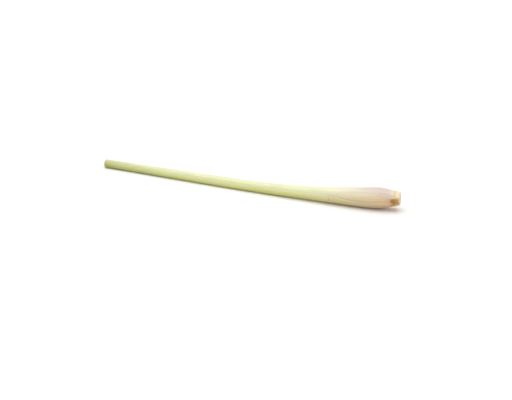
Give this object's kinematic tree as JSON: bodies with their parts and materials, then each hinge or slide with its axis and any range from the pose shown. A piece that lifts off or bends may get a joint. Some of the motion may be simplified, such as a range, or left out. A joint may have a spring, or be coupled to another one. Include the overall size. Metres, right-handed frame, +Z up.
{
  "type": "lemongrass stalk",
  "caption": "Trimmed fresh lemongrass stalk lying down: a slim, gently bowed stem of rolled leaf sheaths that swells to a pale bulb, cut straight at the root end and the leaf end.",
  "frame": {"origin": "on the surface the stalk lies on, under the middle of its box", "axes": "+X along the stalk towards its root end, -Y the side the stalk bows to and the outer sheath opens on, +Z up"},
  "size_m": [0.3304, 0.0226, 0.0213],
  "materials": {
    "stem_flesh": "moist cream plant flesh, cut face slightly browned round its rim",
    "outer_leaf": "smooth waxy leaf sheath, pale green stem fading to cream and mauve on the bulb, fine veins along it",
    "inner_leaf": "smooth pale cream-green leaf sheath, paler than the outer one",
    "heart_leaf": "tightly rolled young leaf, tan at its cut end"
  },
  "bodies": {
    "root": {"basal_stem": "stem_flesh", "outer_sheath": "outer_leaf", "second_sheath": "inner_leaf", "third_sheath": "inner_leaf", "heart_leaf": "heart_leaf"}
  },
  "joints": []
}
